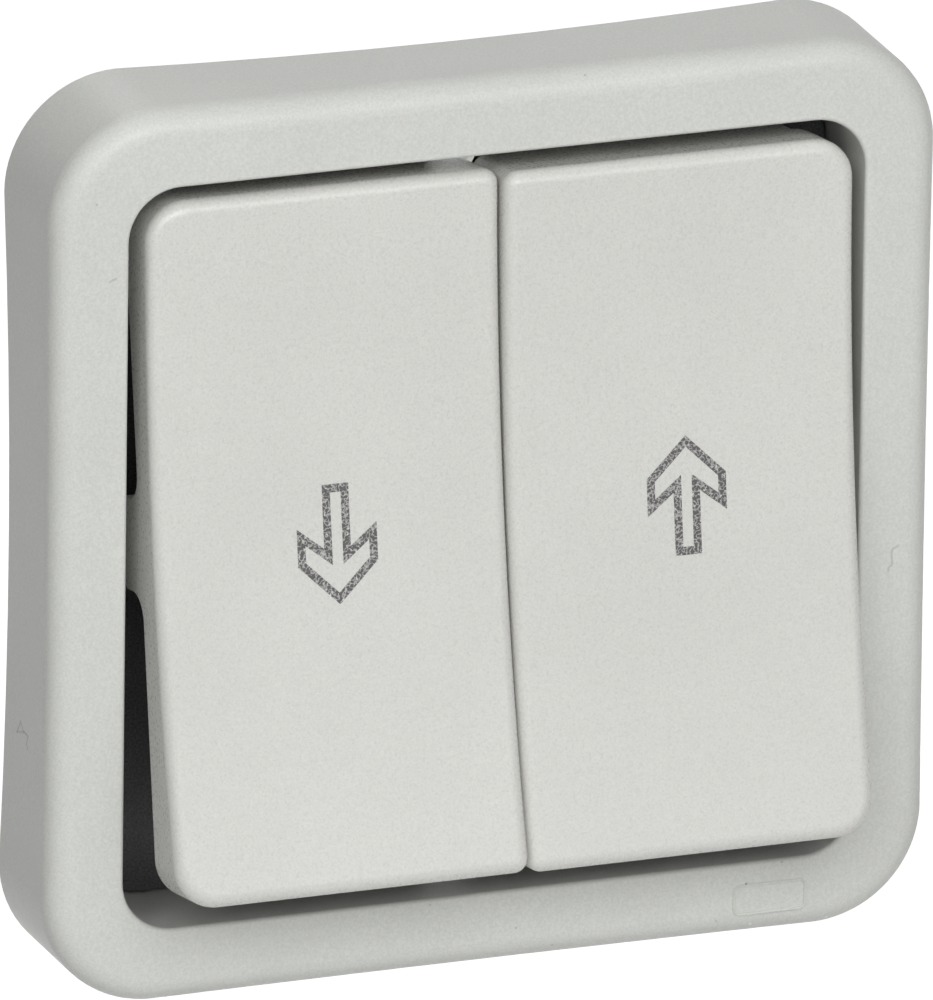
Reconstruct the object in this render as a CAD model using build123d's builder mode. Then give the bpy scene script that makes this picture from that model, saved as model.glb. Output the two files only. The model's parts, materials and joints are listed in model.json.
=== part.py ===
"""Flush roller shutter switch: two rocker buttons in a splash-proof square cover frame.

Millimetres. X to the right, Z up, the wall lies in the XZ plane at Y = 0 and the switch faces -Y.
The origin is the centre of the mounting plane. Heights are counted from the wall towards the room.
"""
import os
from math import cos, radians, sin, sqrt, tan

from build123d import *

os.makedirs("parts", exist_ok=True)

# Cover frame
frame_size = 80.2
frame_depth = 12.5
frame_corner_radius = 9.95
frame_draft = 0.1
frame_waist = 0.66
frame_edge_fillet = 2.2
frame_side_wall = 2.0
frame_front_wall = 2.2
frame_border = 6.85
collar_wall = 1.5
opening_corner_radius = 4.6
opening_lip_fillet = 0.4
frame_rib_width = 1.2
frame_rib_offset = 19.0

# Support ring, the sheet on its front and the seal around it
ring_overlap = 2.25
ring_corner_radius = 6.0
ring_thickness = 1.0
ring_lap = 4.0
box_screw_edge = 5.5
box_screw_hole_radius = 2.1
box_screw_head_radius = 3.5
seal_sheet_thickness = 0.5
wall_seal_thickness = 2.4
seal_clearance = 0.1

# Retaining plate inside the frame
plate_thickness = 1.9
plate_clearance = 0.3
latch_length = 4.0
latch_depth = 0.5
latch_offset = 20.0
bearing_wall = 2.5
bearing_shoulder = 1.7
running_clearance = 0.07
side_clearance = 0.4
pocket_clearance = 0.2

# Rockers
pivot_height = 5.65
rest_tilt = 7.77
left_lean = 1.7
left_shift = 0.3
rocker_side_gap = 1.3
rocker_end_gap = 2.8
rocker_gap = 0.5
rocker_bend_radius = 214.4
rocker_face_height = 9.86
rocker_face_wall = 1.6
rocker_skirt_wall = 1.4
rocker_skirt_height = 5.8
rocker_end_skirt_height = 3.3
rocker_outer_corner = 3.6
rocker_inner_corner = 1.3
rocker_edge_fillet = 1.1
ear_half_width = 4.0
ear_tip_radius = 1.9
ear_root_fillet = 2.4
pivot_pin_radius = 1.5
pivot_pin_length = 2.5
rib_wall = 1.2
rib_spacing = 9.2
rib_length = 24.0
rocker_stock = 0.5

# Printed arrows
arrow_height = 10.4
arrow_width = 7.2
arrow_head_height = 3.5
arrow_barb_height = 3.3
arrow_notch_height = 1.9
arrow_stem_width = 2.4
arrow_stroke = 0.72
print_depth = 0.08
print_thickness = 0.1
down_arrow_offset = 15.7
down_arrow_drop = 0.6
up_arrow_offset = 16.3
up_arrow_rise = 0.6

# Insert cover and the cradles that carry the rockers
insert_share = 44 / 66.5
insert_corner_radius = 2.5
insert_rim = 0.7
cover_thickness = 1.4
centre_bearing_wall = 4.0
cradle_end_gap = 7.0
cradle_plate_base = 0.9
cradle_plate_thickness = 3.0
cheek_wall = 2.0
cheek_radius = 2.6
cradle_tube_radius = 3.6
cradle_tube_reach = 9.0
trunnion_length = 1.8
cradle_window_height = 14.0
hook_width = 6.0
hook_wall = 1.5
hook_nub = 0.9
hook_clearance = 0.1
plunger_radius = 2.5
plunger_shoulder = 3.0
plunger_neck_start = 10.4
plunger_tip_radius = 1.6
spring_seat = 2.4
spring_turns = 5
spring_wire_radius = 0.3
spring_coil_radius = 2.0
cover_screw_edge = 2.0
cover_screw_head_radius = 1.9
cover_screw_radius = 1.1
cover_screw_head_height = 0.9
cover_screw_length = 7.0
plate_screw_inset = 2.5
plate_screw_radius = 1.25
plate_screw_head_radius = 2.4
plate_screw_end = 0.1
countersink_angle = 82.0
screw_recess_width = 0.5
screw_recess_depth = 0.6

# Switch block behind the wall
block_depth = 18.0
chamber_side_wall = 1.0
chamber_end_wall = 4.5
chamber_depth = 11.6
terminal_plate_thickness = 2.0
terminal_edge = 2.5
terminal_inset = 1.5
terminal_height = 10.0
wire_hole_radius = 1.5
wire_hole_offset = 2.3
wire_hole_share = 6 / 11

# Contacts
lever_pivot_depth = 9.3
lever_rest_angle = 6.0
lever_arm_angle = 8.0
lever_half_length = 8.4
lever_width = 6.0
lever_thickness = 0.8
lever_tip_gap = 0.1
lever_seat_gap = 0.05
contact_offset = 7.2
contact_radius = 1.3
contact_height = 0.6
contact_gap = 0.05
strip_thickness = 0.8
strip_width = 5.0
saddle_half_base = 1.8
line_rail_width = 2.8
bridge_width = 2.8

# Wire clamps and their release levers
clamp_wall = 0.4
clamp_side_gap = 1.0
clamp_bend_radius = 1.5
release_width = 5.6
release_height = 2.4
release_shift = 1.7
release_flange = 0.8
release_flange_height = 1.4
release_stand = 1.2
release_travel = 0.7

# Sizes that follow from the frame's
opening_size = frame_size - 2 * frame_border
ring_size = opening_size + 2 * ring_overlap
box_screw_spacing = ring_size - 2 * box_screw_edge
rocker_width = (opening_size - rocker_gap) / 2 - rocker_side_gap
rocker_height = opening_size - 2 * rocker_end_gap
insert_size = opening_size * insert_share
plate_screw_offset = insert_size / 2 + plate_screw_inset
ring_window = insert_size - 2 * ring_lap
cover_screw_offset = insert_size / 2 - cover_screw_edge
cradle_width = (insert_size - centre_bearing_wall) / 2 - 2 * side_clearance - bearing_wall - insert_rim
cradle_spacing = centre_bearing_wall + 2 * side_clearance + cradle_width
cradle_length = insert_size - 2 * cradle_end_gap
chamber_width = cradle_width - 2 * chamber_side_wall
chamber_height = insert_size - 2 * chamber_end_wall
terminal_width = chamber_width - 2 * terminal_inset
terminal_offset = (insert_size - terminal_height) / 2 - terminal_edge
wire_hole_spacing = terminal_width * wire_hole_share
clamp_width = terminal_width - 2 * clamp_side_gap
release_offset = terminal_offset - release_shift

# Levels worked out from the sizes above
seal_sheet_top = ring_thickness + seal_sheet_thickness
plate_top = seal_sheet_top + plate_thickness
cover_top = ring_thickness + cover_thickness
block_back = -block_depth
terminal_back = block_back - terminal_plate_thickness
opening_half = opening_size / 2
inner_corner_radius = frame_corner_radius - frame_side_wall
plate_size = opening_size - 2 * plate_clearance
plate_window = insert_size + 2 * side_clearance
rocker_centre = (rocker_gap + rocker_width) / 2
rocker_outer_side = rocker_gap / 2 + rocker_width
face_rise = rocker_bend_radius - sqrt(rocker_bend_radius**2 - (rocker_height / 2) ** 2)
cradle_centre = cradle_spacing / 2
cradle_plate_top = cradle_plate_base + cradle_plate_thickness
pin_clearance_radius = pivot_pin_radius + running_clearance
print_stand = print_thickness - print_depth
bearing_radius = pivot_pin_radius + bearing_shoulder
side_bearing_start = cradle_centre + cradle_width / 2 + side_clearance
plunger_bore_radius = plunger_radius + running_clearance
lever_front = lever_seat_gap + lever_thickness / cos(radians(lever_arm_angle))
plunger_reach = pivot_height + lever_pivot_depth - lever_front - lever_tip_gap
closed_lean = radians(lever_arm_angle - lever_rest_angle)
contact_level = (-lever_pivot_depth - (contact_height - lever_seat_gap) - contact_gap
                 + (contact_offset - contact_radius) * sin(closed_lean))
strip_back = -chamber_depth
strip_front = strip_back + strip_thickness
strip_end = chamber_height / 2 - pocket_clearance


def front(height):
    """Plane parallel to the wall, sketched in X and Z, that looks into the room."""
    return Plane(origin=(0, -height, 0), x_dir=(1, 0, 0), z_dir=(0, -1, 0))


def tilted_front(height, angle):
    """Front plane through a pivot at this height, turned about X."""
    lean = radians(angle)
    return Plane(origin=(0, -height, 0), x_dir=(1, 0, 0), z_dir=(0, -cos(lean), -sin(lean)))


def tilted_side(x, height, angle):
    """Section plane at X through a pivot at this height: first axis up, second into the room."""
    lean = radians(angle)
    return Plane(origin=(x, -height, 0), x_dir=(0, -sin(lean), cos(lean)), z_dir=(1, 0, 0))


def side(x):
    """Section plane at X that starts at the wall."""
    return tilted_side(x, 0, 0)


def write(piece, name):
    """Label a finished piece and write its STEP file."""
    piece.label = name
    export_step(piece, f"parts/{name}.step")


def waisted_square(size, radius, waist):
    """Face of a rounded square whose sides are drawn in at their middles."""
    half = size / 2
    straight = half - radius
    corner = half - radius * (1 - sqrt(0.5))
    with BuildLine(mode=Mode.PRIVATE) as quarter:
        if waist:
            ThreePointArc((-straight, -half), (0, -half + waist), (straight, -half))
        else:
            Line((-straight, -half), (straight, -half))
        ThreePointArc((straight, -half), (corner, -corner), (half, -straight))
    with BuildSketch(mode=Mode.PRIVATE) as outline:
        with BuildLine():
            for turn in range(4):
                add(quarter.line, rotation=90 * turn)
        make_face()
    return outline.sketch


# Cover frame
# The side walls are ruled from a straight front outline to a back outline drawn in at mid-side.
with BuildPart() as frame_cavity:
    with BuildSketch(front(0)):
        add(waisted_square(frame_size - 2 * frame_side_wall, inner_corner_radius, frame_waist))
    with BuildSketch(front(frame_depth - frame_front_wall)):
        add(waisted_square(frame_size - 2 * (frame_side_wall + frame_draft), inner_corner_radius, 0))
    loft(ruled=True)
    with BuildSketch(front(seal_sheet_top)):
        RectangleRounded(opening_size + 2 * collar_wall, opening_size + 2 * collar_wall,
                         opening_corner_radius + collar_wall)
    extrude(amount=frame_depth, mode=Mode.SUBTRACT)
    with BuildSketch(front(wall_seal_thickness + seal_clearance)):
        for turn in (0, 90):
            with Locations(Location((0, 0, 0), (0, 0, turn))):
                with GridLocations(2 * frame_rib_offset, 0, 2, 1):
                    Rectangle(frame_rib_width, frame_size)
    extrude(amount=frame_depth, mode=Mode.SUBTRACT)

with BuildPart() as cover_frame:
    with BuildSketch(front(0)):
        add(waisted_square(frame_size, frame_corner_radius, frame_waist))
    with BuildSketch(front(frame_depth)):
        add(waisted_square(frame_size - 2 * frame_draft, frame_corner_radius, 0))
    loft(ruled=True)
    fillet(cover_frame.faces().sort_by(Axis.Y)[0].edges(), frame_edge_fillet)
    add(frame_cavity.part, mode=Mode.SUBTRACT)
    with BuildSketch(front(0)):
        RectangleRounded(opening_size, opening_size, opening_corner_radius)
    extrude(amount=frame_depth, mode=Mode.SUBTRACT)
    fillet(cover_frame.faces().sort_by(Axis.Y)[0].inner_wires()[0].edges(), opening_lip_fillet)
    with BuildSketch(front(seal_sheet_top)):
        for turn in (0, 90):
            with Locations(Location((0, 0, 0), (0, 0, turn))):
                with GridLocations(2 * latch_offset, 0, 2, 1):
                    Rectangle(latch_length + 2 * pocket_clearance,
                              opening_size + 2 * (latch_depth - plate_clearance + pocket_clearance))
    extrude(amount=plate_thickness, mode=Mode.SUBTRACT)
write(cover_frame.part, "cover_frame")

with BuildPart() as wall_seal:
    seal_size = frame_size - 2 * (frame_side_wall + seal_clearance)
    seal_share = wall_seal_thickness / frame_depth
    with BuildSketch(front(0)):
        add(waisted_square(seal_size, inner_corner_radius, frame_waist))
    with BuildSketch(front(wall_seal_thickness)):
        add(waisted_square(seal_size - 2 * frame_draft * seal_share, inner_corner_radius,
                           frame_waist * (1 - seal_share)))
    loft(ruled=True)
    with BuildSketch(front(0)):
        RectangleRounded(ring_size + 2 * seal_clearance, ring_size + 2 * seal_clearance, ring_corner_radius)
    extrude(amount=wall_seal_thickness, mode=Mode.SUBTRACT)
write(wall_seal.part, "wall_seal")

# Support ring with the two box screw holes above and below the insert
with BuildPart() as support_ring:
    with BuildSketch(front(0)):
        RectangleRounded(ring_size, ring_size, ring_corner_radius)
        RectangleRounded(ring_window, ring_window, insert_corner_radius, mode=Mode.SUBTRACT)
        with GridLocations(0, box_screw_spacing, 1, 2):
            Circle(box_screw_hole_radius, mode=Mode.SUBTRACT)
        with GridLocations(2 * plate_screw_offset, 2 * plate_screw_offset, 2, 2):
            Circle(plate_screw_radius + running_clearance, mode=Mode.SUBTRACT)
        with GridLocations(2 * cover_screw_offset, 2 * cover_screw_offset, 2, 2):
            Circle(cover_screw_radius + pocket_clearance, mode=Mode.SUBTRACT)
    extrude(amount=ring_thickness)
write(support_ring.part, "support_ring")

with BuildPart() as seal_sheet:
    with BuildSketch(front(ring_thickness)):
        RectangleRounded(ring_size, ring_size, ring_corner_radius)
        RectangleRounded(plate_window, plate_window, insert_corner_radius, mode=Mode.SUBTRACT)
        with GridLocations(0, box_screw_spacing, 1, 2):
            Circle(box_screw_head_radius, mode=Mode.SUBTRACT)
        with GridLocations(2 * plate_screw_offset, 2 * plate_screw_offset, 2, 2):
            Circle(plate_screw_radius + pocket_clearance, mode=Mode.SUBTRACT)
    extrude(amount=seal_sheet_thickness)
write(seal_sheet.part, "seal_sheet")

# Retaining plate: it latches into the frame's collar and carries the rockers' outer pivots
bearing_outer = rocker_outer_side - rocker_skirt_wall - side_clearance
with BuildPart() as retaining_plate:
    with BuildSketch(front(seal_sheet_top)):
        RectangleRounded(plate_size, plate_size, opening_corner_radius - plate_clearance)
        RectangleRounded(plate_window, plate_window, insert_corner_radius, mode=Mode.SUBTRACT)
    extrude(amount=plate_thickness)
    with BuildSketch(front(plate_top - plate_thickness / 2)):
        for turn in (0, 90):
            with Locations(Location((0, 0, 0), (0, 0, turn))):
                with GridLocations(2 * latch_offset, plate_size, 2, 2):
                    Rectangle(latch_length, 2 * latch_depth)
    extrude(amount=plate_thickness / 4, both=True)
    for direction in (-1, 1):
        with BuildSketch(side(direction * bearing_outer)):
            with Locations((0, pivot_height)):
                Circle(pivot_pin_radius + bearing_shoulder)
            with Locations((0, seal_sheet_top)):
                Rectangle(2 * (pivot_pin_radius + bearing_shoulder), pivot_height - seal_sheet_top,
                          align=(Align.CENTER, Align.MIN))
        extrude(amount=-direction * bearing_wall)
    with BuildSketch(side(0)):
        with Locations((0, pivot_height)):
            Circle(pin_clearance_radius)
    extrude(amount=opening_half, both=True, mode=Mode.SUBTRACT)
    with BuildSketch(front(seal_sheet_top)):
        with GridLocations(0, box_screw_spacing + box_screw_head_radius, 1, 2):
            SlotOverall(3 * box_screw_head_radius, 2 * box_screw_head_radius, rotation=90)
    extrude(amount=plate_thickness, mode=Mode.SUBTRACT)
    with Locations(front(plate_top)):
        with GridLocations(2 * plate_screw_offset, 2 * plate_screw_offset, 2, 2):
            CounterSinkHole(plate_screw_radius + pocket_clearance,
                            plate_screw_head_radius + pocket_clearance, plate_thickness, countersink_angle)
write(retaining_plate.part, "retaining_plate")

with BuildPart() as plate_screws:
    cone_height = (plate_screw_head_radius - plate_screw_radius) / tan(radians(countersink_angle / 2))
    with Locations(front(plate_top - cone_height)):
        with GridLocations(2 * plate_screw_offset, 2 * plate_screw_offset, 2, 2):
            Cone(plate_screw_radius, plate_screw_head_radius, cone_height,
                 align=(Align.CENTER, Align.CENTER, Align.MIN))
    with BuildSketch(front(plate_screw_end)):
        with GridLocations(2 * plate_screw_offset, 2 * plate_screw_offset, 2, 2):
            Circle(plate_screw_radius)
    extrude(amount=plate_top - plate_screw_end - cone_height / 2)
    with BuildSketch(front(plate_top)):
        with GridLocations(2 * plate_screw_offset, 2 * plate_screw_offset, 2, 2):
            for turn in (45, 135):
                Rectangle(2 * plate_screw_radius, screw_recess_width, rotation=turn)
    extrude(amount=-screw_recess_depth, mode=Mode.SUBTRACT)
write(plate_screws.part, "plate_screws")

# Rocker blank: concave face, skirt, pivot ear on the outer side, ribs and hooks for its cradle
rocker_front = tilted_front(pivot_height, -rest_tilt)
pivot_axis = Axis((0, -pivot_height, 0), (1, 0, 0))


def rocker_side(x):
    """Section plane of the rocker at X, through its pivot."""
    return tilted_side(x, pivot_height, -rest_tilt)


def leant(piece, lean=left_lean, shift=0):
    """Piece of the left rocker as it sits in the photo, tipped further and nearer the middle."""
    return piece.rotate(pivot_axis, -lean).translate((shift, 0, 0))


def rocker_outline():
    """Face of the left rocker's outline, rounder on its outer side."""
    with BuildSketch(mode=Mode.PRIVATE) as outline:
        with Locations((-rocker_centre, 0)):
            Rectangle(rocker_width, rocker_height)
        fillet(outline.vertices().group_by(Axis.X)[0], rocker_outer_corner)
        fillet(outline.vertices().group_by(Axis.X)[-1], rocker_inner_corner)
    return outline.sketch


def rocker_bend(radius):
    """Circle of the concave face's section, or of one parallel to it."""
    with BuildSketch(rocker_side(0), mode=Mode.PRIVATE) as bend:
        with Locations((0, rocker_face_height + rocker_bend_radius)):
            Circle(radius)
    return bend.sketch


with BuildPart() as rocker_cavity:
    with BuildSketch(rocker_front.offset(-pivot_height)):
        with Locations((-rocker_centre, 0)):
            cavity = Rectangle(rocker_width - 2 * rocker_skirt_wall, rocker_height - 2 * rocker_skirt_wall)
        fillet(cavity.vertices().group_by(Axis.X)[0], rocker_outer_corner - rocker_skirt_wall)
    extrude(amount=pivot_height + rocker_face_height + face_rise + rocker_stock)
    extrude(rocker_bend(rocker_bend_radius + rocker_face_wall), amount=opening_size, both=True,
            mode=Mode.SUBTRACT)

with BuildPart() as rocker_blank:
    with BuildSketch(rocker_front.offset(rocker_skirt_height)):
        add(rocker_outline())
    extrude(amount=rocker_face_height + face_rise + rocker_stock - rocker_skirt_height)
    extrude(rocker_bend(rocker_bend_radius), amount=opening_size, both=True, mode=Mode.SUBTRACT)
    concave_face = rocker_blank.faces().filter_by(GeomType.CYLINDER).sort_by(SortBy.AREA)[-1]
    fillet(concave_face.edges(), rocker_edge_fillet)
    add(rocker_cavity.part, mode=Mode.SUBTRACT)
    with BuildSketch(rocker_front.offset(rocker_end_skirt_height)):
        add(rocker_outline())
        with Locations((-rocker_centre, 0)):
            Rectangle(rocker_width, rocker_height - 2 * rocker_skirt_wall, mode=Mode.SUBTRACT)
        with Locations((-rocker_outer_side, 0)):
            Rectangle(2 * rocker_outer_corner, rocker_height, mode=Mode.SUBTRACT)
    extrude(amount=rocker_skirt_height - rocker_end_skirt_height + rocker_skirt_wall)
    with BuildSketch(rocker_side(-rocker_outer_side)) as ear:
        Polygon((-ear_half_width, rocker_skirt_height), (ear_half_width, rocker_skirt_height),
                (ear_half_width, ear_tip_radius), (ear_tip_radius, 0), (-ear_tip_radius, 0),
                (-ear_half_width, ear_tip_radius), align=None)
        Circle(ear_tip_radius)
        with Locations((0, rocker_skirt_height)):
            Rectangle(4 * ear_half_width, rocker_skirt_wall, align=(Align.CENTER, Align.MIN))
        fillet(ear.vertices().group_by(Axis.Y)[-2].sort_by(Axis.X)[1:-1], ear_root_fillet)
    extrude(amount=rocker_skirt_wall)
    with BuildSketch(rocker_side(-rocker_outer_side + rocker_skirt_wall)):
        Circle(pivot_pin_radius)
    extrude(amount=pivot_pin_length)
    with BuildSketch(rocker_front.offset(cradle_plate_top + hook_clearance)):
        with Locations((-cradle_centre, 0)):
            with GridLocations(rib_spacing, 0, 2, 1):
                Rectangle(rib_wall, rib_length)
    extrude(amount=rocker_face_height - cradle_plate_top - hook_clearance - rocker_face_wall / 2)
    with BuildSketch(rocker_front.offset(cradle_plate_base - hook_clearance - hook_nub)):
        with Locations((-cradle_centre, 0)):
            with GridLocations(0, cradle_length + 2 * hook_clearance + hook_wall, 1, 2):
                Rectangle(hook_width, hook_wall)
    hook_rise = rocker_bend_radius - sqrt(rocker_bend_radius**2 - (cradle_length / 2) ** 2)
    hook_top = rocker_face_height + hook_rise - rocker_face_wall / 2
    extrude(amount=hook_top - cradle_plate_base + hook_clearance + hook_nub)
    with BuildSketch(rocker_front.offset(cradle_plate_base - hook_clearance - hook_nub)):
        with Locations((-cradle_centre, 0)):
            with GridLocations(0, cradle_length + 2 * hook_clearance - hook_nub, 1, 2):
                Rectangle(hook_width, hook_nub)
    extrude(amount=hook_nub)


def arrow_half(inset):
    """Right half of an arrow's outline from tip to tail, drawn in by this much."""
    half_width = arrow_width / 2
    half_stem = arrow_stem_width / 2
    tip = arrow_height / 2
    head_slope = arrow_head_height / half_width
    barb_slope = arrow_notch_height / (half_width - half_stem)
    head_line = tip - inset * sqrt(1 + head_slope**2)
    barb_line = tip - arrow_head_height - arrow_barb_height + inset * sqrt(1 + barb_slope**2)
    edge = half_width - inset
    stem = half_stem - inset
    return [(0, head_line), (edge, head_line - edge * head_slope), (edge, barb_line + inset * barb_slope),
            (stem, barb_line + (half_width - stem) * barb_slope), (stem, inset - tip)]


def arrow_print(centre, turn):
    """Face of an open arrow outline at this centre of the rocker plane."""
    with BuildSketch(rocker_front, mode=Mode.PRIVATE) as face:
        with Locations(Location((centre[0], centre[1], 0), (0, 0, turn))):
            for inset, mode in ((0, Mode.ADD), (arrow_stroke, Mode.SUBTRACT)):
                right = arrow_half(inset)
                left = [(-x, y) for x, y in reversed(right[1:])]
                Polygon(*right, *left, align=None, mode=mode)
    return face.sketch


for hand, direction, centre, turn in (("left", "down", (-down_arrow_offset, -down_arrow_drop), 180),
                                      ("right", "up", (up_arrow_offset, up_arrow_rise), 0)):
    with BuildPart() as pocket:
        extrude(arrow_print(centre, turn), amount=rocker_face_height + face_rise)
        extrude(rocker_bend(rocker_bend_radius + print_depth), amount=opening_size, both=True,
                mode=Mode.INTERSECT)
    with BuildPart() as rocker:
        if hand == "left":
            add(rocker_blank.part)
        else:
            mirror(rocker_blank.part, about=Plane.YZ)
        add(pocket.part, mode=Mode.SUBTRACT)
    with BuildPart() as arrow:
        add(pocket.part)
        extrude(rocker_bend(rocker_bend_radius - print_stand), amount=opening_size, both=True,
                mode=Mode.SUBTRACT)
    for piece, name in ((rocker.part, f"{hand}_rocker"), (arrow.part, f"{direction}_arrow_print")):
        write(leant(piece, shift=left_shift) if hand == "left" else piece, name)

# Cradle: plate, two cheeks with trunnions and the tube that holds spring and plunger
cradle_start = -cradle_centre - cradle_width / 2
with BuildPart() as cradle:
    with BuildSketch(rocker_front.offset(cradle_plate_base)):
        with Locations((-cradle_centre, 0)):
            Rectangle(cradle_width, cradle_length)
    extrude(amount=cradle_plate_thickness)
    for start in (cradle_start, cradle_start + cradle_width - cheek_wall):
        with BuildSketch(rocker_side(start)):
            Circle(cheek_radius)
            Rectangle(2 * cheek_radius, cradle_plate_top, align=(Align.CENTER, Align.MIN))
        extrude(amount=cheek_wall)
    with BuildSketch(rocker_side(cradle_start - trunnion_length)):
        Circle(pivot_pin_radius)
    extrude(amount=cradle_width + 2 * trunnion_length)
    with BuildSketch(rocker_front.offset(-cradle_tube_reach)):
        with Locations((-cradle_centre, 0)):
            Circle(cradle_tube_radius)
    extrude(amount=cradle_tube_reach + cradle_plate_base)
    with BuildSketch(rocker_front.offset(-cradle_tube_reach)):
        with Locations((-cradle_centre, 0)):
            Circle(plunger_bore_radius)
    extrude(amount=cradle_tube_reach + spring_seat, mode=Mode.SUBTRACT)

# Plunger: a turned pin whose round tip rides on the contact lever
plunger_plane = rocker_side(-cradle_centre)
with BuildPart() as plunger:
    with BuildSketch(plunger_plane):
        with BuildLine():
            neck = -plunger_neck_start - plunger_radius + plunger_tip_radius
            ball = -plunger_reach + plunger_tip_radius
            Polyline((0, -plunger_reach), (0, -plunger_shoulder), (plunger_radius, -plunger_shoulder),
                     (plunger_radius, -plunger_neck_start), (plunger_tip_radius, neck),
                     (plunger_tip_radius, ball))
            RadiusArc((plunger_tip_radius, ball), (0, -plunger_reach), plunger_tip_radius)
        make_face()
    revolve(axis=Axis(plunger_plane.origin, plunger_plane.y_dir))

# Coil spring between the cradle's tube and the plunger
spring_length = spring_seat + plunger_shoulder - 2 * (spring_wire_radius + contact_gap)
spring_start = rocker_front.offset(-plunger_shoulder + spring_wire_radius + contact_gap)
with BuildPart() as spring:
    with BuildLine() as coil:
        Helix(spring_length / spring_turns, spring_length, spring_coil_radius,
              spring_start.from_local_coords((-cradle_centre, 0, 0)), spring_start.z_dir)
    with BuildSketch(Plane(origin=coil.line @ 0, z_dir=coil.line % 0)):
        Circle(spring_wire_radius)
    sweep(path=coil.line, is_frenet=True)

# Contact lever: a bent strip that rocks on its saddle, with a rivet under each end
lever_section = tilted_side(-cradle_centre - lever_width / 2, -lever_pivot_depth, lever_rest_angle)
with BuildPart() as contact_lever:
    with BuildSketch(lever_section):
        rise = lever_half_length * tan(radians(lever_arm_angle))
        Polygon((0, lever_seat_gap), (lever_half_length, lever_seat_gap + rise),
                (lever_half_length, lever_front + rise), (0, lever_front),
                (-lever_half_length, lever_front + rise), (-lever_half_length, lever_seat_gap + rise),
                align=None)
    extrude(amount=lever_width)
    for end in (-1, 1):
        arm = tilted_front(-lever_pivot_depth, lever_rest_angle + end * lever_arm_angle)
        with BuildSketch(arm.offset(lever_seat_gap - contact_height)):
            with Locations((-cradle_centre, end * contact_offset)):
                Circle(contact_radius)
        extrude(amount=contact_height + lever_thickness / 2)


def strip(*bars):
    """Flat strip on the chamber floor from bars given by their low and high corners."""
    with BuildPart(mode=Mode.PRIVATE) as flat:
        with BuildSketch(front(strip_back)):
            for low, high in bars:
                with Locations(low):
                    Rectangle(high[0] - low[0], high[1] - low[1], align=Align.MIN)
        extrude(amount=strip_thickness)
    return flat.part


def stud(x, z):
    """Fixed contact that stands on a strip."""
    with BuildPart(mode=Mode.PRIVATE) as post:
        with BuildSketch(front(strip_front)):
            with Locations((x, z)):
                Circle(contact_radius)
        extrude(amount=contact_level - strip_front)
    return post.part


def saddle(x):
    """Knife edge that a contact lever rocks on."""
    with BuildPart(mode=Mode.PRIVATE) as knife:
        with BuildSketch(side(x - strip_width / 2)):
            Polygon((-saddle_half_base, strip_front), (saddle_half_base, strip_front),
                    (contact_gap, -lever_pivot_depth), (-contact_gap, -lever_pivot_depth), align=None)
        extrude(amount=strip_width)
    return knife.part


# Fixed contacts on their strips
# The line strip feeds the left lever, and the bridge carries the line to the right one.
half_strip = strip_width / 2
contact_low = contact_offset - half_strip + pocket_clearance
chamber_outer = cradle_centre + chamber_width / 2 - pocket_clearance
half_bridge = bridge_width / 2
with BuildPart() as output_contact:
    add(strip(((-cradle_centre - half_strip, contact_low), (-cradle_centre + half_strip, strip_end))))
    add(stud(-cradle_centre, contact_offset))

with BuildPart() as line_contact:
    add(strip(((-chamber_outer, -saddle_half_base), (-cradle_centre + half_strip, saddle_half_base)),
              ((-chamber_outer, -strip_end), (-chamber_outer + line_rail_width, saddle_half_base))))
    add(saddle(-cradle_centre))
write(line_contact.part, "line_contact")

left_edge = cradle_centre - half_strip
right_edge = cradle_centre + half_strip
riser = left_edge - side_clearance
with BuildPart() as bridge_contact:
    add(strip(((-right_edge, -contact_offset - half_strip), (-left_edge, -contact_low)),
              ((-cradle_centre, -contact_offset - half_bridge), (riser, -contact_offset + half_bridge)),
              ((riser - bridge_width, -contact_offset - half_bridge), (riser, saddle_half_base)),
              ((riser - bridge_width, -saddle_half_base), (right_edge, saddle_half_base))))
    add(stud(-cradle_centre, -contact_offset))
    add(saddle(cradle_centre))
write(bridge_contact.part, "bridge_contact")

with BuildPart() as rest_contact:
    add(strip(((cradle_centre - half_strip, -strip_end), (cradle_centre + half_strip, -contact_low))))
    add(stud(cradle_centre, -contact_offset))
write(rest_contact.part, "rest_contact")

# Pieces that the two halves share, mirrored for the right-hand one
for piece, name, lean in ((cradle, "cradle", left_lean), (plunger, "plunger", left_lean),
                          (spring, "spring", left_lean), (contact_lever, "contact_lever", 0),
                          (output_contact, "output_contact", 0)):
    write(leant(piece.part, lean), f"left_{name}")
    with BuildPart() as twin:
        mirror(piece.part, about=Plane.YZ)
    write(twin.part, f"right_{name}")

# Insert cover with the bearings of both cradles
with BuildPart() as insert_cover:
    with BuildSketch(front(ring_thickness)):
        RectangleRounded(insert_size, insert_size, insert_corner_radius)
        with GridLocations(cradle_spacing, 0, 2, 1):
            Rectangle(chamber_width, cradle_window_height, mode=Mode.SUBTRACT)
    extrude(amount=cover_thickness)
    for start, wall in ((-centre_bearing_wall / 2, centre_bearing_wall), (side_bearing_start, bearing_wall),
                        (-side_bearing_start - bearing_wall, bearing_wall)):
        with BuildSketch(side(start)):
            with Locations((0, pivot_height)):
                Circle(bearing_radius)
            with Locations((0, ring_thickness)):
                Rectangle(2 * bearing_radius, pivot_height - ring_thickness,
                          align=(Align.CENTER, Align.MIN))
        extrude(amount=wall)
    with BuildSketch(side(0)):
        with Locations((0, pivot_height)):
            Circle(pin_clearance_radius)
    extrude(amount=insert_size / 2, both=True, mode=Mode.SUBTRACT)
    with BuildSketch(front(ring_thickness)):
        with GridLocations(2 * cover_screw_offset, 2 * cover_screw_offset, 2, 2):
            Circle(cover_screw_radius + pocket_clearance)
    extrude(amount=cover_thickness, mode=Mode.SUBTRACT)
write(insert_cover.part, "insert_cover")

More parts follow.
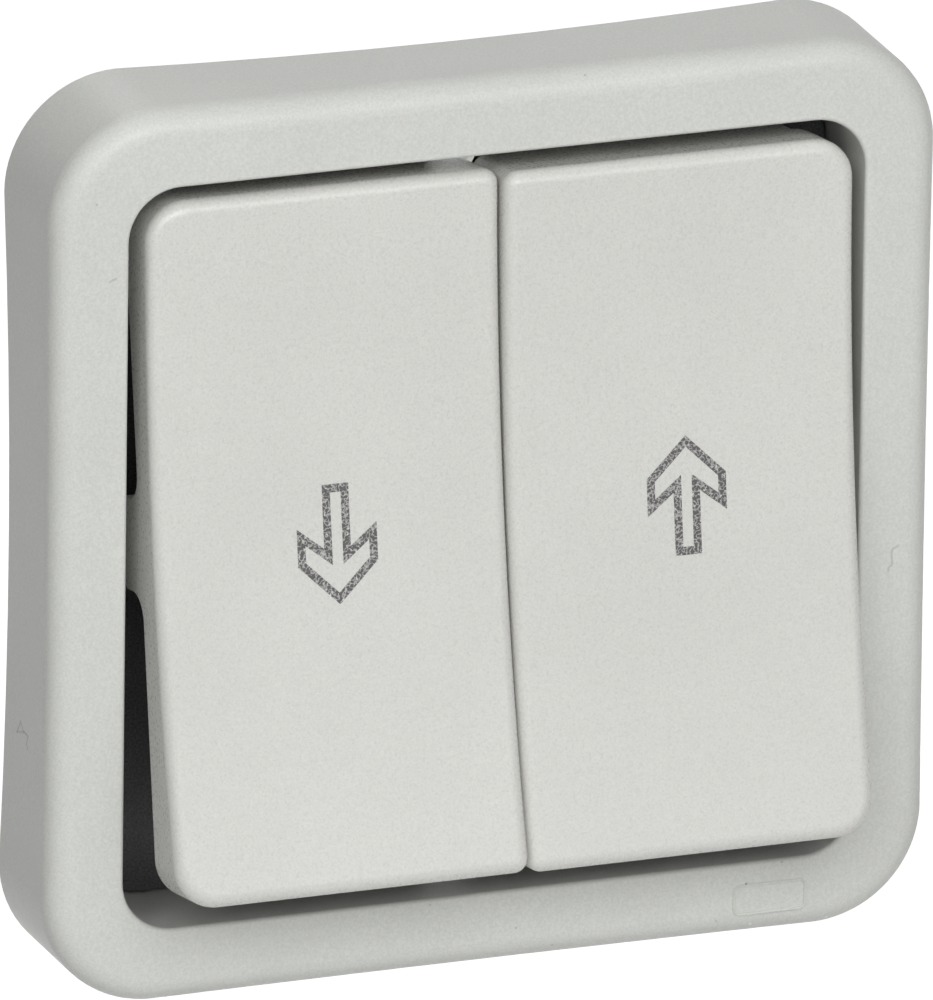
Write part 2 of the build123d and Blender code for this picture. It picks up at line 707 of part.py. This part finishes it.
with BuildPart() as cover_screws:
    with BuildSketch(front(cover_top - cover_screw_length)):
        with GridLocations(2 * cover_screw_offset, 2 * cover_screw_offset, 2, 2):
            Circle(cover_screw_radius)
    extrude(amount=cover_screw_length)
    with BuildSketch(front(cover_top)):
        with GridLocations(2 * cover_screw_offset, 2 * cover_screw_offset, 2, 2):
            Circle(cover_screw_head_radius)
    extrude(amount=cover_screw_head_height)
    with BuildSketch(front(cover_top + cover_screw_head_height)):
        with GridLocations(2 * cover_screw_offset, 2 * cover_screw_offset, 2, 2):
            for turn in (45, 135):
                Rectangle(2 * cover_screw_radius, screw_recess_width, rotation=turn)
    extrude(amount=-screw_recess_depth, mode=Mode.SUBTRACT)
write(cover_screws.part, "cover_screws")

# Switch block behind the wall: two contact chambers, four terminal pockets
with BuildPart() as switch_block:
    with BuildSketch(front(0)):
        RectangleRounded(insert_size, insert_size, insert_corner_radius)
    extrude(amount=-block_depth)
    with BuildSketch(front(0)):
        with GridLocations(cradle_spacing, 0, 2, 1):
            Rectangle(chamber_width, chamber_height)
    extrude(amount=-chamber_depth, mode=Mode.SUBTRACT)
    with BuildSketch(front(block_back)):
        with GridLocations(cradle_spacing, 2 * terminal_offset, 2, 2):
            Rectangle(terminal_width, terminal_height)
    extrude(amount=block_depth - chamber_depth, mode=Mode.SUBTRACT)
    with BuildSketch(front(strip_back)):
        with Locations((0, -contact_offset)):
            Rectangle(cradle_spacing, bridge_width + 2 * pocket_clearance)
    extrude(amount=strip_thickness + pocket_clearance, mode=Mode.SUBTRACT)
    with BuildSketch(front(0)):
        with GridLocations(2 * cover_screw_offset, 2 * cover_screw_offset, 2, 2):
            Circle(cover_screw_radius + running_clearance)
    extrude(amount=-cover_screw_length, mode=Mode.SUBTRACT)
write(switch_block.part, "switch_block")

with BuildPart() as terminal_plate:
    with BuildSketch(front(terminal_back)):
        RectangleRounded(insert_size, insert_size, insert_corner_radius)
        for row in (-1, 1):
            with Locations((0, row * (terminal_offset + wire_hole_offset))):
                with GridLocations(cradle_spacing, 0, 2, 1):
                    with GridLocations(wire_hole_spacing, 0, 2, 1):
                        Circle(wire_hole_radius, mode=Mode.SUBTRACT)
            with Locations((0, row * release_offset)):
                with GridLocations(cradle_spacing, 0, 2, 1):
                    Rectangle(release_width + 2 * running_clearance, release_height + 2 * running_clearance,
                              mode=Mode.SUBTRACT)
    extrude(amount=terminal_plate_thickness)
write(terminal_plate.part, "terminal_plate")

# Wire clamps and release levers, one of each for every terminal
clamp_start = terminal_offset - terminal_height / 2 + running_clearance
bend_centre = clamp_start + clamp_bend_radius + clamp_wall / 2
leg_level = strip_back - clamp_wall / 2
blade_end = terminal_offset + wire_hole_offset - wire_hole_radius - pocket_clearance
release_front = leg_level - 2 * clamp_bend_radius - clamp_wall / 2 - release_travel - pocket_clearance
for row, row_name in ((1, "upper"), (-1, "lower")):
    for hand, hand_name in ((-1, "left"), (1, "right")):
        with BuildPart() as clamp:
            with BuildSketch(side(hand * cradle_centre)):
                with BuildLine(mode=Mode.PRIVATE) as bend:
                    ThreePointArc((row * bend_centre, leg_level),
                                  (row * (bend_centre - clamp_bend_radius), leg_level - clamp_bend_radius),
                                  (row * bend_centre, leg_level - 2 * clamp_bend_radius))
                SlotArc(bend.edge(), clamp_wall)
                with Locations((row * (bend_centre + strip_end) / 2, leg_level)):
                    Rectangle(strip_end - bend_centre, clamp_wall)
                with BuildLine(mode=Mode.PRIVATE) as blade:
                    Line((row * bend_centre, leg_level - 2 * clamp_bend_radius),
                         (row * blade_end, leg_level - clamp_bend_radius))
                SlotArc(blade.edge(), clamp_wall)
            extrude(amount=clamp_width / 2, both=True)
        write(clamp.part, f"{row_name}_{hand_name}_clamp")
        with BuildPart() as release:
            with BuildSketch(front(terminal_back - release_stand)):
                with Locations((hand * cradle_centre, row * release_offset)):
                    Rectangle(release_width, release_height)
            extrude(amount=release_front - terminal_back + release_stand)
            with BuildSketch(front(block_back + pocket_clearance)):
                with Locations((hand * cradle_centre, row * release_offset)):
                    Rectangle(release_width + 2 * release_flange, release_height + 2 * release_flange)
            extrude(amount=release_flange_height)
        write(release.part, f"{row_name}_{hand_name}_release")
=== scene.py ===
"""Looks of the flush roller shutter switch: finishes, floor, light and camera.

Metres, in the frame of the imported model: X to the right, Z up, the switch faces -Y, the wall plane is Y = 0.
Lengths in the materials are in millimetres, because their coordinates are scaled to that.
"""
import json
from math import cos, pi, radians, sin

import bmesh
import bpy
from mathutils import Matrix, Vector


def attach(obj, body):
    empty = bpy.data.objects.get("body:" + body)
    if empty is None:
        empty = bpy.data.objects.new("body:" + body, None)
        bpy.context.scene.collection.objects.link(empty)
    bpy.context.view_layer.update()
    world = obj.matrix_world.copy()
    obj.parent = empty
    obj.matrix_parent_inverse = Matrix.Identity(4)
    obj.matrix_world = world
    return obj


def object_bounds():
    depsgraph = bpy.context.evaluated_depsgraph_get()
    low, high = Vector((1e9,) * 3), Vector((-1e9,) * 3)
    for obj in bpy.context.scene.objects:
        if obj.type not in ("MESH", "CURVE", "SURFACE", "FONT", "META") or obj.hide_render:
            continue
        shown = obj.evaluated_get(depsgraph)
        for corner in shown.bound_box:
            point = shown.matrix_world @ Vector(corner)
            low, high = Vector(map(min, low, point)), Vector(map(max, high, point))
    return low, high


MM = 0.001
FAR = 1e3

# Camera, fitted to the photograph
CAMERA_AZIMUTH = radians(-20.59)
CAMERA_ELEVATION = radians(19.29)
CAMERA_ROLL = radians(0.80)
CAMERA_DISTANCE = 2.2463
CAMERA_TARGET = Vector((1.535, -1.352, -1.584)) * MM
CAMERA_CLIP_END = 20.0
SENSOR_WIDTH = 36.0
LENS = 946.66

# Raised outline on the front of the frame, in millimetres
FRAME_FRONT = -12.5
MARK_CENTRE = (25.6, -36.6)
MARK_WIDTH = 6.5
MARK_HEIGHT = 2.6
MARK_CORNER = 0.55
MARK_LINE_HALF_WIDTH = 0.13
MARK_LINE_RISE = 0.15

# Floor and light
FLOOR_DROP = 0.12
FLOOR_HALF = 3.0
FLOOR_GREY = 0.75
FLOOR_GLOW = 0.85
FLOOR_SHADE = 0.7
SKY_STRENGTH = 0.01
# Softboxes: name, azimuth and elevation in degrees, distance and side in metres, power in watts
LAMPS = (
    ("key", 0, 31, 1.0, 0.5, 5.0),
    ("left", -38, 30, 1.0, 0.6, 3.45),
    ("top", 0, 88, 1.0, 0.6, 2.05),
    ("right", 20, 18, 2.0, 1.2, 4.2),
    ("back", 172, 38, 2.0, 0.6, 3.2),
)

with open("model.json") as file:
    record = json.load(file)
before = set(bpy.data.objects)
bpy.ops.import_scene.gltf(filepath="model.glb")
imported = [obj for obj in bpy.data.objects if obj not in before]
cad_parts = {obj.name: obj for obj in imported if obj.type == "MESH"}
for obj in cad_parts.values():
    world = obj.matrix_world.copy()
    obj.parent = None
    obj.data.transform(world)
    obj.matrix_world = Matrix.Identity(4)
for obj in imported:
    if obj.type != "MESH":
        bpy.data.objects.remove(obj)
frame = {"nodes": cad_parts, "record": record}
nodes = frame["nodes"]
cad_box = [list(corner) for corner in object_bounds()]


class Graph:
    """Node tree of one material, with short calls to add and join nodes."""

    def __init__(self, name):
        self.material = bpy.data.materials.new(name)
        self.material.use_nodes = True
        self.tree = self.material.node_tree
        self.tree.nodes.clear()
        self.output = self.tree.nodes.new("ShaderNodeOutputMaterial")
        place = self.tree.nodes.new("ShaderNodeTexCoord")
        scale = self.add("ShaderNodeMapping", Vector=place.outputs["Object"])
        scale.inputs["Scale"].default_value = (1 / MM, 1 / MM, 1 / MM)
        self.place = scale.outputs["Vector"]

    def feed(self, socket, value):
        """Set this input to a value, or link another node's output to it."""
        if isinstance(value, bpy.types.NodeSocket):
            self.tree.links.new(value, socket)
        else:
            socket.default_value = value

    def add(self, kind, **inputs):
        """New node with these inputs, each a value or another node's output."""
        node = self.tree.nodes.new(kind)
        for name, value in inputs.items():
            self.feed(node.inputs[name.replace("_", " ")], value)
        return node

    def noise(self, scale, detail=2.0, roughness=0.5, place=None):
        """Noise from 0 to 1 with this many features in a millimetre."""
        node = self.add("ShaderNodeTexNoise", Vector=place or self.place, Scale=scale, Detail=detail,
                        Roughness=roughness)
        return node.outputs["Fac"]

    def spread(self, value, low, high, to_low, to_high):
        """Value mapped from one range to another, held at its ends."""
        node = self.add("ShaderNodeMapRange", Value=value)
        node.inputs["From Min"].default_value = low
        node.inputs["From Max"].default_value = high
        node.inputs["To Min"].default_value = to_low
        node.inputs["To Max"].default_value = to_high
        return node.outputs["Result"]

    def vector(self, operation, first, second, scale=None):
        """One vector sum, whose result is a vector or, for a dot product or a distance, a value."""
        node = self.tree.nodes.new("ShaderNodeVectorMath")
        node.operation = operation
        self.feed(node.inputs[0], first)
        self.feed(node.inputs[1], second)
        if scale is not None:
            self.feed(node.inputs["Scale"], scale)
        return next(socket for socket in node.outputs if socket.enabled)

    def math(self, operation, first, second):
        """One sum of two values."""
        node = self.tree.nodes.new("ShaderNodeMath")
        node.operation = operation
        self.feed(node.inputs[0], first)
        self.feed(node.inputs[1], second)
        return node.outputs["Value"]

    def blend(self, share, first, second):
        """Colour between two others."""
        node = self.tree.nodes.new("ShaderNodeMix")
        node.data_type = "RGBA"
        sockets = {"Factor": share, "A": first, "B": second}
        for socket in node.inputs:
            if socket.name in sockets and socket.type in ("RGBA", "VALUE") and socket.enabled:
                self.feed(socket, sockets[socket.name])
        return next(socket for socket in node.outputs if socket.type == "RGBA")

    def stroke(self, points, width):
        """Share from 0 to 1 of a thin line through these points, with a soft edge."""
        nearest = FAR
        for start, end in zip(points, points[1:]):
            along = Vector(end) - Vector(start)
            offset = self.vector("SUBTRACT", self.place, start)
            share = self.spread(self.vector("DOT_PRODUCT", offset, along / along.length_squared), 0, 1, 0, 1)
            reach = self.vector("SCALE", along, (0, 0, 0), share)
            nearest = self.math("MINIMUM", nearest, self.vector("DISTANCE", offset, reach))
        return self.spread(nearest, width * 0.3, width, 1.0, 0.0)

    def spot(self, centre, radius):
        """Share from 0 to 1 of a round spot with a soft edge."""
        reach = self.vector("DISTANCE", self.place, centre)
        return self.spread(reach, radius * 0.6, radius, 1.0, 0.0)

    def bump(self, height, depth):
        """Normal of a surface whose height varies by this depth in metres."""
        return self.add("ShaderNodeBump", Height=height, Strength=1.0, Distance=depth).outputs["Normal"]

    def finish(self, **inputs):
        """Principled shader on the output."""
        shader = self.add("ShaderNodeBsdfPrincipled", **inputs)
        self.tree.links.new(shader.outputs["BSDF"], self.output.inputs["Surface"])
        return self.material


def grey(value, warmth=0.0):
    """Grey colour, warmer above 0 and cooler below."""
    return (value * (1 + warmth), value, value * (1 - warmth), 1.0)


def moulded(name, colour, roughness=0.4, grain=5.0, grain_depth=0.015, gloss=0.5, specks=0.0, marks=()):
    """Injection-moulded plastic with a fine spark-eroded grain and small marks of dirt."""
    g = Graph(name)
    cloud = g.noise(0.06, detail=3.0)
    fine = g.noise(grain, detail=2.0, roughness=0.6)
    coarse = g.noise(grain / 3, detail=1.0)
    lighter = tuple(min(1.0, c * 1.02) for c in colour[:3]) + (1.0,)
    darker = tuple(c * 0.98 for c in colour[:3]) + (1.0,)
    tint = g.blend(g.spread(cloud, 0.35, 0.65, 0.0, 1.0), darker, lighter)
    tint = g.blend(g.spread(fine, 0.3, 0.7, 0.24, 0.0), tint, grey(0.3))
    if specks:
        dots = g.add("ShaderNodeTexVoronoi", Vector=g.place, Scale=specks, Randomness=1.0)
        tint = g.blend(g.spread(dots.outputs["Distance"], 0.03, 0.05, 0.5, 0.0), tint, grey(0.12))
    for kind, place, size, share, shade in marks:
        mask = getattr(g, kind)(place, size)
        tint = g.blend(g.math("MULTIPLY", mask, share), tint, shade)
    shine = g.spread(g.noise(grain * 0.7, detail=2.0), 0.3, 0.7, roughness - 0.06, roughness + 0.06)
    height = g.math("ADD", fine, g.math("MULTIPLY", coarse, 0.6))
    return g.finish(Base_Color=tint, Roughness=shine, Normal=g.bump(height, grain_depth * MM),
                    Specular_IOR_Level=gloss)


def printed(name):
    """Grey foil print that the grain beneath it breaks into dark and light worms, with bare specks."""
    g = Graph(name)
    grain = g.noise(2.8, detail=1.0, roughness=0.4)
    worms = g.math("ABSOLUTE", g.math("SUBTRACT", grain, 0.5), 0.0)
    tint = g.blend(g.spread(worms, 0.01, 0.09, 0.0, 1.0), grey(0.46, 0.02), grey(0.075, 0.02))
    flakes = g.noise(4.5, detail=2.0, roughness=0.6, place=g.vector("ADD", g.place, (31.0, 17.0, 5.0)))
    tint = g.blend(g.spread(flakes, 0.35, 0.6, 0.5, 0.0), tint, grey(0.06, 0.02))
    tint = g.blend(g.spread(flakes, 0.64, 0.7, 0.0, 0.9), tint, grey(0.7, 0.02))
    return g.finish(Base_Color=tint, Roughness=0.4, Normal=g.bump(grain, 0.02 * MM))


def metal(name, colour, roughness=0.3, brushed=(1.0, 1.0, 1.0)):
    """Plain or brushed metal with a cloudy plating."""
    g = Graph(name)
    streaks = g.noise(3.0, detail=4.0, roughness=0.65, place=g.vector("MULTIPLY", g.place, brushed))
    cloud = g.noise(0.25, detail=2.0)
    dull = tuple(c * 0.8 for c in colour[:3]) + (1.0,)
    tint = g.blend(g.spread(cloud, 0.3, 0.7, 0.0, 1.0), dull, colour)
    shine = g.spread(streaks, 0.3, 0.7, roughness - 0.08, roughness + 0.12)
    return g.finish(Base_Color=tint, Metallic=1.0, Roughness=shine, Normal=g.bump(streaks, 0.003 * MM))


def rubber(name):
    """Soft black seal with a dusty, finely pored skin."""
    g = Graph(name)
    pores = g.noise(4.0, detail=4.0, roughness=0.7)
    dust = g.noise(0.4, detail=3.0)
    tint = g.blend(g.spread(dust, 0.4, 0.7, 0.0, 0.5), grey(0.02), grey(0.06))
    return g.finish(Base_Color=tint, Roughness=0.8, Normal=g.bump(pores, 0.03 * MM))


# Lint, specks of dirt and chips on the frame and the left rocker: kind, place and size in millimetres,
# how much they cover, and their colour
LINT = grey(0.16)
GRIME = grey(0.12, 0.1)
CHIP = grey(0.85)
FRAME_MARKS = (
    ("stroke", ((-39.75, -3.45, -17.22), (-39.76, -4.3, -16.0), (-39.79, -4.99, -16.69),
                (-39.8, -5.38, -16.62), (-39.83, -6.39, -16.65), (-39.83, -6.05, -17.44),
                (-39.84, -6.32, -17.85)), 0.16, 0.45, LINT),
    ("stroke", ((-39.74, -3.2, -17.33), (-39.8, -5.38, -16.65)), 0.16, 0.3, LINT),
    ("stroke", ((-35.01, -12.5, 25.54), (-34.75, -12.5, 25.71), (-34.47, -12.5, 25.79)), 0.14, 0.3, LINT),
    ("stroke", ((36.83, -12.5, -5.9), (36.33, -12.5, -6.12), (36.25, -12.5, -6.56),
                (36.34, -12.5, -7.53), (35.98, -12.5, -7.78), (35.99, -12.5, -8.05)), 0.14, 0.3, LINT),
    ("spot", (23.44, -12.5, -35.15), 0.14, 0.6, GRIME),
    ("spot", (20.76, -12.4, -38.25), 0.12, 0.4, GRIME),
    ("spot", (26.72, -12.48, -33.53), 0.12, 0.4, GRIME),
    ("spot", (7.79, -11.79, 39.32), 0.12, 0.4, GRIME),
    ("spot", (-36.23, -12.5, 32.55), 0.12, 0.3, GRIME),
    ("spot", (2.41, -12.5, -36.74), 0.12, 0.4, GRIME),
    ("spot", (-5.46, -12.5, -33.74), 0.14, 0.3, GRIME),
    ("spot", (5.85, -12.19, -38.8), 0.14, 0.3, GRIME),
    ("spot", (24.02, -12.11, -39.01), 0.18, 0.7, CHIP),
    ("spot", (31.1, -11.9, -39.26), 0.18, 0.7, CHIP),
)
ROCKER_MARKS = (
    ("spot", (-31.22, -20.38, -26.49), 0.13, 0.7, GRIME),
    ("spot", (-31.65, -13.02, 1.71), 0.16, 0.4, GRIME),
)

finishes = {
    "frame_plastic": moulded("frame_plastic", (0.640, 0.652, 0.616, 1.0), gloss=0.3, marks=FRAME_MARKS),
    "rocker_plastic": moulded("rocker_plastic", (0.650, 0.648, 0.616, 1.0), 0.3, grain_depth=0.02,
                               marks=ROCKER_MARKS),
    "arrow_print": printed("arrow_print"),
    # The carrier is near-black, and this colour is partly painted shade: it darkens the cavity seen around the
    # rockers as deep shade would.
    "carrier_plastic": moulded("carrier_plastic", grey(0.02), 0.55),
    "cradle_plastic": moulded("cradle_plastic", (0.72, 0.71, 0.67, 1.0), 0.4, grain_depth=0.002),
    "block_plastic": moulded("block_plastic", (0.66, 0.655, 0.62, 1.0), 0.35, specks=0.6, grain_depth=0.003),
    "release_plastic": moulded("release_plastic", (0.75, 0.22, 0.03, 1.0), 0.3, grain_depth=0.002),
    "seal_rubber": rubber("seal_rubber"),
    "zinc_steel": metal("zinc_steel", (0.62, 0.62, 0.58, 1.0), 0.32),
    "spring_steel": metal("spring_steel", (0.55, 0.55, 0.55, 1.0), 0.25, brushed=(0.2, 2.0, 2.0)),
    "contact_brass": metal("contact_brass", (0.78, 0.57, 0.25, 1.0), 0.28, brushed=(2.0, 2.0, 0.3)),
}
for part in frame["record"]["subparts"]:
    slots = nodes[part["node"]].data.materials
    slots.clear()
    slots.append(finishes[part["material_slot"]])


def rounded_rectangle(centre, width, height, radius, steps=8):
    """Points in X and Z around a rounded rectangle."""
    points = []
    for quarter, (right, up) in enumerate(((1, 1), (-1, 1), (-1, -1), (1, -1))):
        for step in range(steps + 1):
            turn = pi / 2 * (quarter + step / steps)
            points.append((centre[0] + right * (width / 2 - radius) + radius * cos(turn),
                           centre[1] + up * (height / 2 - radius) + radius * sin(turn)))
    return points


def ridge(name, path, level, half_width, height, sunk=0.03, steps=8):
    """Closed raised line with a rounded back along a path in X and Z, on a face that looks to -Y.

    The line's foot is sunk into the face by a little, so that no gap shows.
    """
    mesh = bmesh.new()
    rings = []
    for i, (x, z) in enumerate(path):
        before, after = path[i - 1], path[(i + 1) % len(path)]
        along = Vector((after[0] - before[0], after[1] - before[1])).normalized()
        section = [(half_width, -sunk)]
        for k in range(steps + 1):
            section.append((half_width * cos(pi * k / steps), height * sin(pi * k / steps)))
        section.append((-half_width, -sunk))
        ring = []
        for out, rise in section:
            place = Vector((x + along.y * out, level - rise, z - along.x * out))
            ring.append(mesh.verts.new(place * MM))
        rings.append(ring)
    for first, second in zip(rings, rings[1:] + rings[:1]):
        for k in range(len(first)):
            mesh.faces.new((first[k - 1], first[k], second[k], second[k - 1]))
    bmesh.ops.recalc_face_normals(mesh, faces=mesh.faces)
    for face in mesh.faces:
        face.smooth = True
    data = bpy.data.meshes.new(name)
    mesh.to_mesh(data)
    mesh.free()
    piece = bpy.data.objects.new(name, data)
    bpy.context.scene.collection.objects.link(piece)
    return piece


# Bare outline of the moulded mark at the lower right of the frame
mark = ridge("mark_outline", rounded_rectangle(MARK_CENTRE, MARK_WIDTH, MARK_HEIGHT, MARK_CORNER),
             FRAME_FRONT, MARK_LINE_HALF_WIDTH, MARK_LINE_RISE)
mark.data.materials.append(finishes["frame_plastic"])
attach(mark, "housing")


def seen_as(tree, surface, view):
    """Shader that the camera, a reflection or glass sees as this view, and light as this surface."""
    path = tree.nodes.new("ShaderNodeLightPath")
    seen = path.outputs["Is Camera Ray"]
    for name in ("Is Glossy Ray", "Is Transmission Ray"):
        either = tree.nodes.new("ShaderNodeMath")
        either.operation = "MAXIMUM"
        tree.links.new(seen, either.inputs[0])
        tree.links.new(path.outputs[name], either.inputs[1])
        seen = either.outputs["Value"]
    mix = tree.nodes.new("ShaderNodeMixShader")
    tree.links.new(seen, mix.inputs["Fac"])
    tree.links.new(surface, mix.inputs[1])
    tree.links.new(view, mix.inputs[2])
    return mix.outputs["Shader"]


world = bpy.data.worlds.new("studio")
bpy.context.scene.world = world
world.use_nodes = True
sky = world.node_tree.nodes["Background"]
sky.inputs["Color"].default_value = (1, 1, 1, 1)
sky.inputs["Strength"].default_value = SKY_STRENGTH
white = world.node_tree.nodes.new("ShaderNodeBackground")
white.inputs["Color"].default_value = (1, 1, 1, 1)
world.node_tree.links.new(seen_as(world.node_tree, sky.outputs["Background"], white.outputs["Background"]),
                          world.node_tree.nodes["World Output"].inputs["Surface"])

floor_level = cad_box[0][2] - FLOOR_DROP
floor_mesh = bpy.data.meshes.new("floor")
corners = [(x * FLOOR_HALF, y * FLOOR_HALF, floor_level) for x, y in ((-1, -1), (1, -1), (1, 1), (-1, 1))]
floor_mesh.from_pydata(corners, [], [(0, 1, 2, 3)])
floor = bpy.data.objects.new("floor", floor_mesh)
bpy.context.scene.collection.objects.link(floor)
floor_look = Graph("floor_paper")
paper = floor_look.add("ShaderNodeBsdfDiffuse", Color=grey(FLOOR_GREY))
shade = floor_look.add("ShaderNodeBsdfDiffuse", Color=grey(FLOOR_SHADE))
glow = floor_look.add("ShaderNodeEmission", Color=grey(1.0), Strength=FLOOR_GLOW)
bright = floor_look.add("ShaderNodeAddShader")
floor_look.tree.links.new(shade.outputs["BSDF"], bright.inputs[0])
floor_look.tree.links.new(glow.outputs["Emission"], bright.inputs[1])
floor_look.tree.links.new(seen_as(floor_look.tree, paper.outputs["BSDF"], bright.outputs["Shader"]),
                          floor_look.output.inputs["Surface"])
floor_mesh.materials.append(floor_look.material)


def lamp(name, azimuth, elevation, distance, size, power):
    """Square softbox that looks at the switch from this direction."""
    data = bpy.data.lights.new(name, "AREA")
    data.size = size
    data.energy = power
    a, e = radians(azimuth), radians(elevation)
    back = Vector((sin(a) * cos(e), -cos(a) * cos(e), sin(e)))
    lamp_object = bpy.data.objects.new(name, data)
    lamp_object.location = back * distance
    lamp_object.rotation_mode = "QUATERNION"
    lamp_object.rotation_quaternion = (-back).to_track_quat("-Z", "Y")
    bpy.context.scene.collection.objects.link(lamp_object)


for values in LAMPS:
    lamp(*values)

back = Vector((sin(CAMERA_AZIMUTH) * cos(CAMERA_ELEVATION), -cos(CAMERA_AZIMUTH) * cos(CAMERA_ELEVATION),
               sin(CAMERA_ELEVATION)))
camera_data = bpy.data.cameras.new("camera")
camera_data.sensor_width = SENSOR_WIDTH
camera_data.lens = LENS
camera_data.clip_end = CAMERA_CLIP_END
camera = bpy.data.objects.new("camera", camera_data)
bpy.context.scene.collection.objects.link(camera)
camera.location = CAMERA_TARGET + back * CAMERA_DISTANCE
camera.rotation_mode = "QUATERNION"
level = (-back).to_track_quat("-Z", "Y")
camera.rotation_quaternion = level @ Matrix.Rotation(CAMERA_ROLL, 4, "Z").to_quaternion()
bpy.context.scene.camera = camera
bpy.context.scene.view_settings.view_transform = "Standard"
